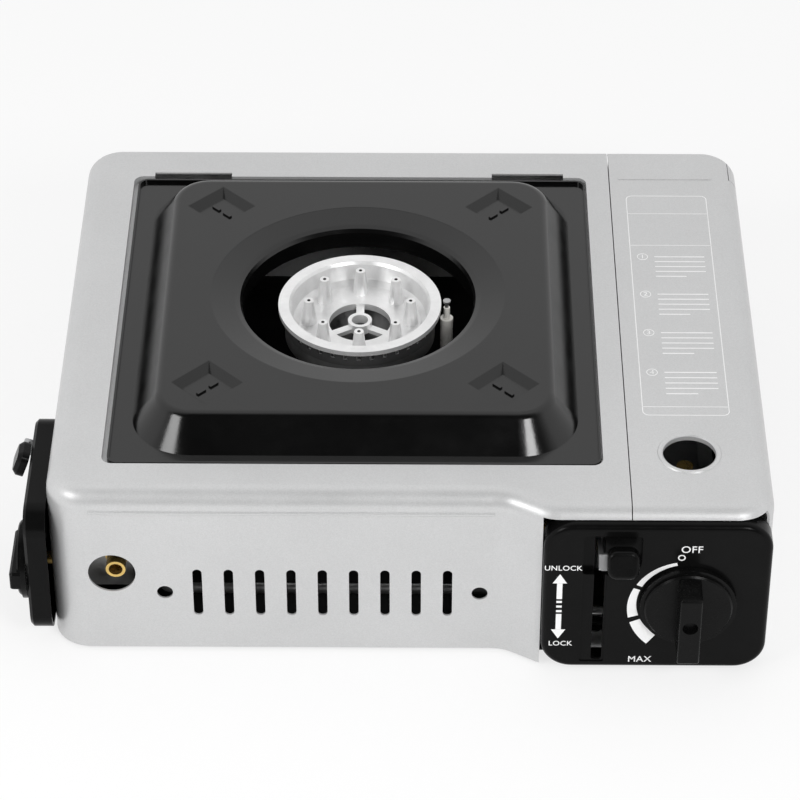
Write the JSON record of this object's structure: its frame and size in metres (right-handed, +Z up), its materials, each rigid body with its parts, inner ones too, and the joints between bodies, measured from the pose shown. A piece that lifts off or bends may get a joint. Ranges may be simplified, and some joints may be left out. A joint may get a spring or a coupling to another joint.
{
  "type": "butane cassette stove",
  "caption": "Tabletop cassette gas stove with a round burner, an inverted square pan support, a hinged cartridge lid, a gas knob and a second hose inlet with its own knob.",
  "frame": {"origin": "middle of the whole stove's footprint, on the plane that its four feet stand on", "axes": "+Z up, +X to the right as the cook faces the controls, +Y to the back"},
  "size_m": [0.3622, 0.3246, 0.11],
  "materials": {
    "base_black": "matt black",
    "zinc_steel": "zinc plated",
    "silver_paint": "satin",
    "burner_alloy_dark": "cast",
    "burner_alloy": "cast and turned",
    "brass_part": "machined",
    "gloss_black": "gloss",
    "white_ceramic": "glazed",
    "knob_black": "satin gloss",
    "pipe_alloy": "drawn",
    "cast_alloy": "die cast",
    "lead_sleeve": "matte",
    "black_rubber": "matte",
    "black_enamel": "satin enamel",
    "igniter_plastic": "matte"
  },
  "bodies": {
    "casing": {"body_shell": "silver_paint", "lid_hinge_brackets": "zinc_steel", "lid_hinge_pins": "zinc_steel", "base_plate": "base_black", "base_screws": "zinc_steel", "rubber_feet": "black_rubber", "bay_divider": "zinc_steel", "cartridge_cradle": "zinc_steel", "control_panel": "gloss_black", "control_frame": "zinc_steel", "gas_valve_body": "cast_alloy", "regulator_body": "cast_alloy", "regulator_cover": "cast_alloy", "relief_plug": "brass_part", "cartridge_nozzle": "brass_part", "nozzle_seal": "black_rubber", "lever_pin": "zinc_steel", "burner_head": "burner_alloy", "burner_cup": "burner_alloy_dark", "mixing_tube": "zinc_steel", "jet_block": "brass_part", "jet_nozzle": "brass_part", "gas_pipe": "pipe_alloy", "side_gas_pipe": "pipe_alloy", "burner_stand": "zinc_steel", "electrode_insulator": "white_ceramic", "electrode_tip": "zinc_steel", "electrode_clip": "zinc_steel", "ignition_lead": "lead_sleeve", "piezo_igniter": "igniter_plastic", "side_panel": "gloss_black", "side_valve_body": "cast_alloy", "hose_inlet": "brass_part", "side_lever_carrier": "zinc_steel", "side_lever_pin": "zinc_steel"},
    "lid": {"cartridge_lid": "silver_paint"},
    "gas_knob_body": {"gas_knob": "knob_black", "valve_stem": "brass_part"},
    "cartridge_lever_body": {"cartridge_lever": "zinc_steel", "lever_pad": "knob_black"},
    "collar_slider_body": {"collar_slider": "zinc_steel"},
    "side_knob_body": {"side_knob": "knob_black", "side_valve_stem": "brass_part"},
    "side_lever_body": {"side_lever": "zinc_steel", "side_lever_pad": "knob_black"},
    "pan_support_body": {"pan_support": "black_enamel", "support_arms": "black_enamel"}
  },
  "joints": [
    {"name": "lid_hinge", "type": "hinge", "parent": "casing", "child": "lid", "pos_m": [0.1445, 0.15682, 0.0915], "axis": [-1, 0, 0], "range_deg": [0, 95]},
    {"name": "gas_knob_turn", "type": "hinge", "parent": "casing", "child": "gas_knob_body", "pos_m": [0.14115, -0.14333, 0.0448], "axis": [0, -1, 0], "range_deg": [0, 150]},
    {"name": "cartridge_lever_turn", "type": "hinge", "parent": "casing", "child": "cartridge_lever_body", "pos_m": [0.099, -0.07508, 0.0475], "axis": [1, 0, 0], "range_deg": [0, 41.2]},
    {"name": "collar_slide", "type": "slide", "parent": "casing", "child": "collar_slider_body", "axis": [0, -1, 0], "range_m": [0, 0.00507]},
    {"name": "side_knob_turn", "type": "hinge", "parent": "casing", "child": "side_knob_body", "pos_m": [-0.172, -0.10902, 0.042], "axis": [-1, 0, 0], "range_deg": [0, 150]},
    {"name": "side_lever_turn", "type": "hinge", "parent": "casing", "child": "side_lever_body", "pos_m": [-0.10275, -0.06502, 0.0475], "axis": [0, -1, 0], "range_deg": [0, 41.2]},
    {"name": "pan_support_lift", "type": "slide", "parent": "casing", "child": "pan_support_body", "axis": [0, 0, 1], "range_m": [0, 0.06]}
  ],
  "couplings": [
    {"joint": "collar_slide", "follows": "cartridge_lever_turn", "m_per_rad": 0.007045}
  ]
}
